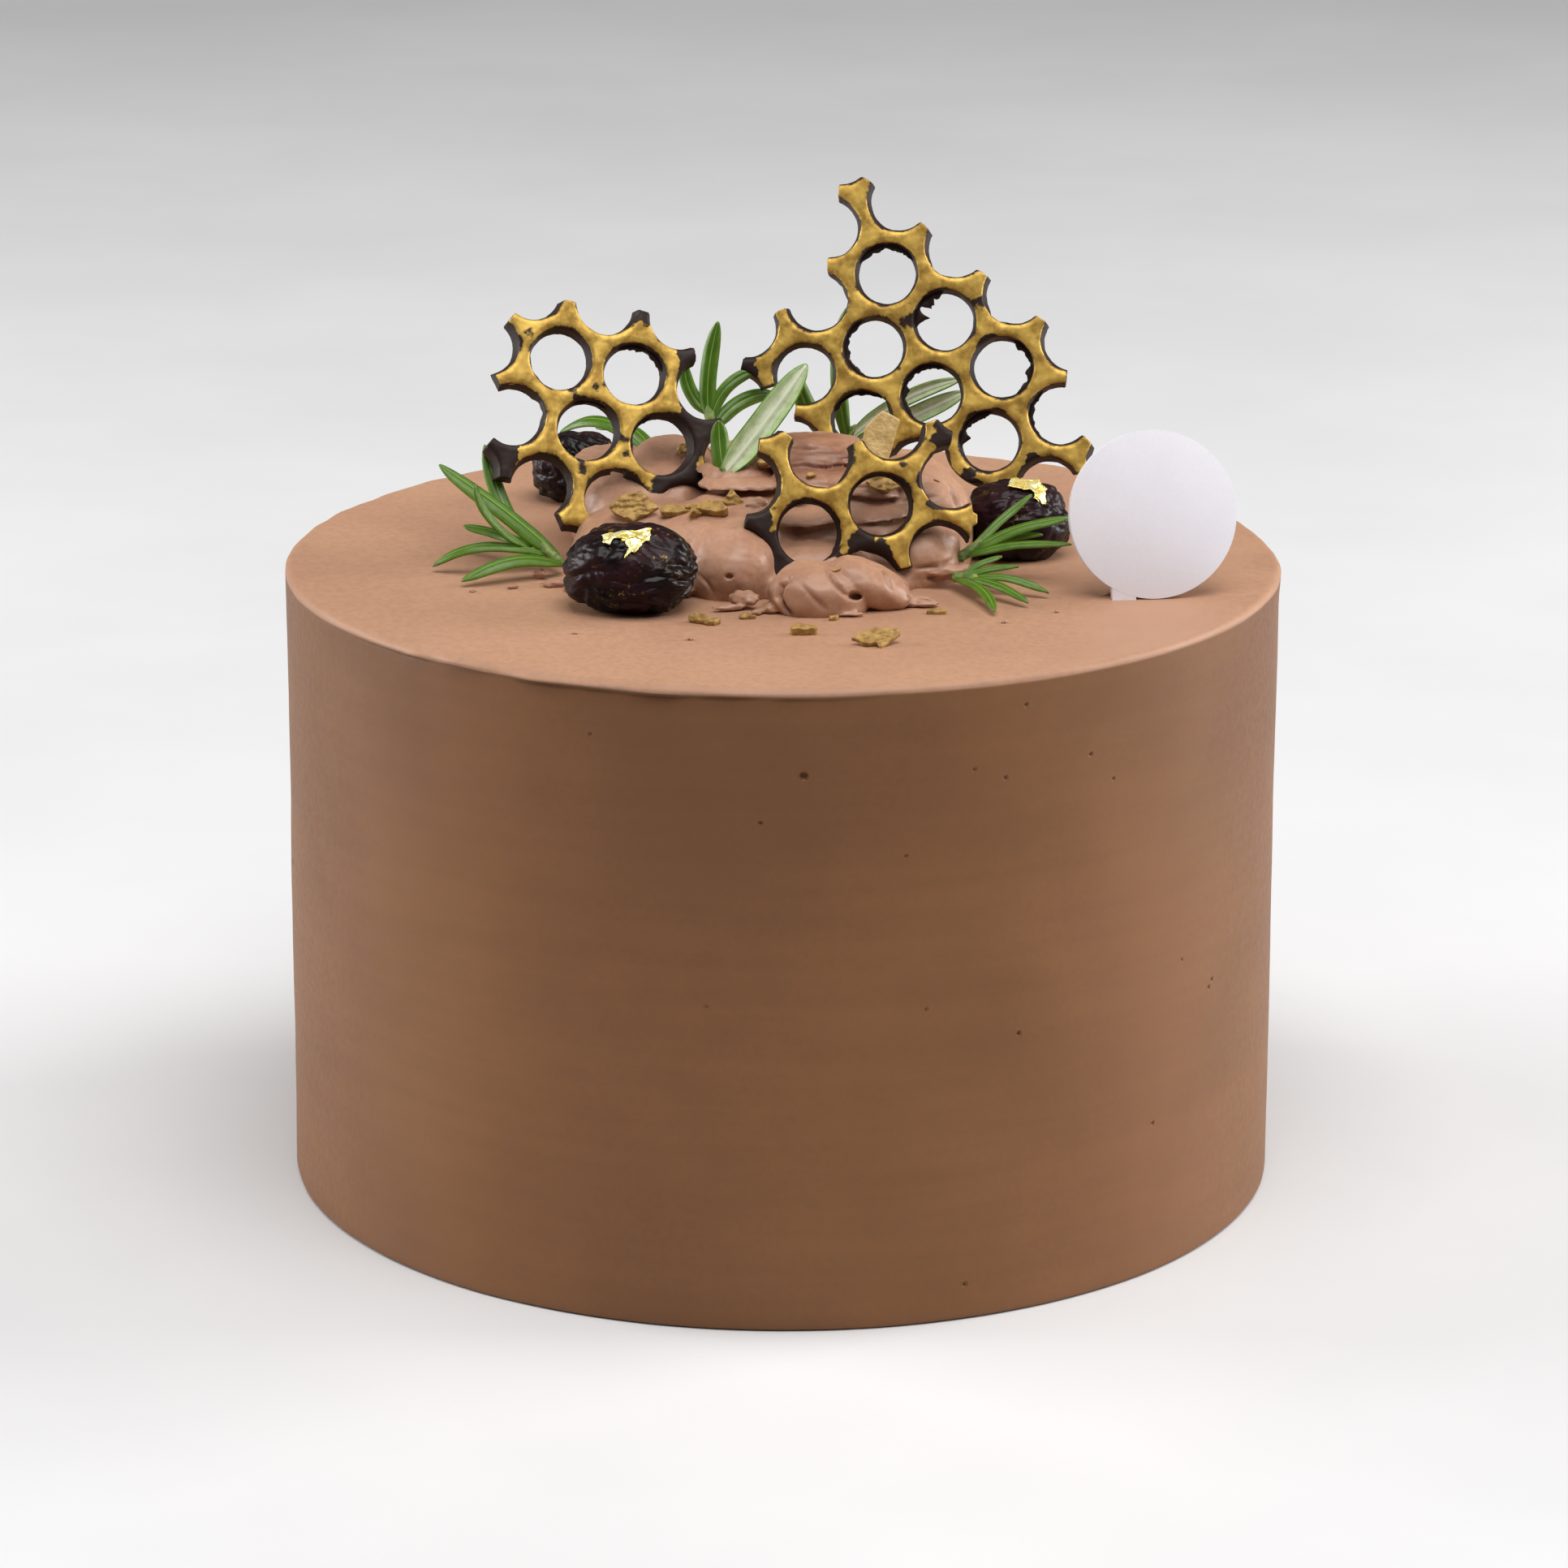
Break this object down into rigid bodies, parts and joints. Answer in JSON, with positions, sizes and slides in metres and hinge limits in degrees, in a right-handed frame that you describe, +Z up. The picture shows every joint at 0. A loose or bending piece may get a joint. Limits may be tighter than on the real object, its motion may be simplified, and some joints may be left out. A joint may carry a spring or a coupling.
{
  "type": "chocolate fudge cake",
  "caption": "Whole round chocolate fudge cake with smooth icing, buttercream, gilded chocolate honeycomb, rosemary, sour cherries and a plain round topper.",
  "frame": {"origin": "middle of the cake's flat base", "axes": "+Z up through the cake, -Y towards its dressed front, +X to the right as seen from the front"},
  "size_m": [0.155, 0.155, 0.1525],
  "materials": {
    "fudge_icing": "smooth matt chocolate icing",
    "buttercream": "soft satin chocolate buttercream",
    "cherry_skin": "glossy wrinkled dark skin",
    "gilded_chocolate": "dark chocolate brushed with gold lustre",
    "rosemary_leaf": "fresh green leaf with a slight sheen",
    "gilded_flake": "chocolate flake dusted with gold",
    "topper_card": "plain white satin card"
  },
  "bodies": {
    "root": {"cake": "fudge_icing", "buttercream": "buttercream", "cherry_front": "cherry_skin", "cherry_right": "cherry_skin", "cherry_back": "cherry_skin", "honeycomb_left": "gilded_chocolate", "honeycomb_back": "gilded_chocolate", "honeycomb_front": "gilded_chocolate", "sprig_left": "rosemary_leaf", "sprig_right": "rosemary_leaf", "sprig_low": "rosemary_leaf", "sprig_middle": "rosemary_leaf", "sprig_back": "rosemary_leaf", "sprig_far": "rosemary_leaf", "sprig_behind": "rosemary_leaf", "gilded_chip": "gilded_flake", "round_topper": "topper_card"}
  },
  "joints": []
}
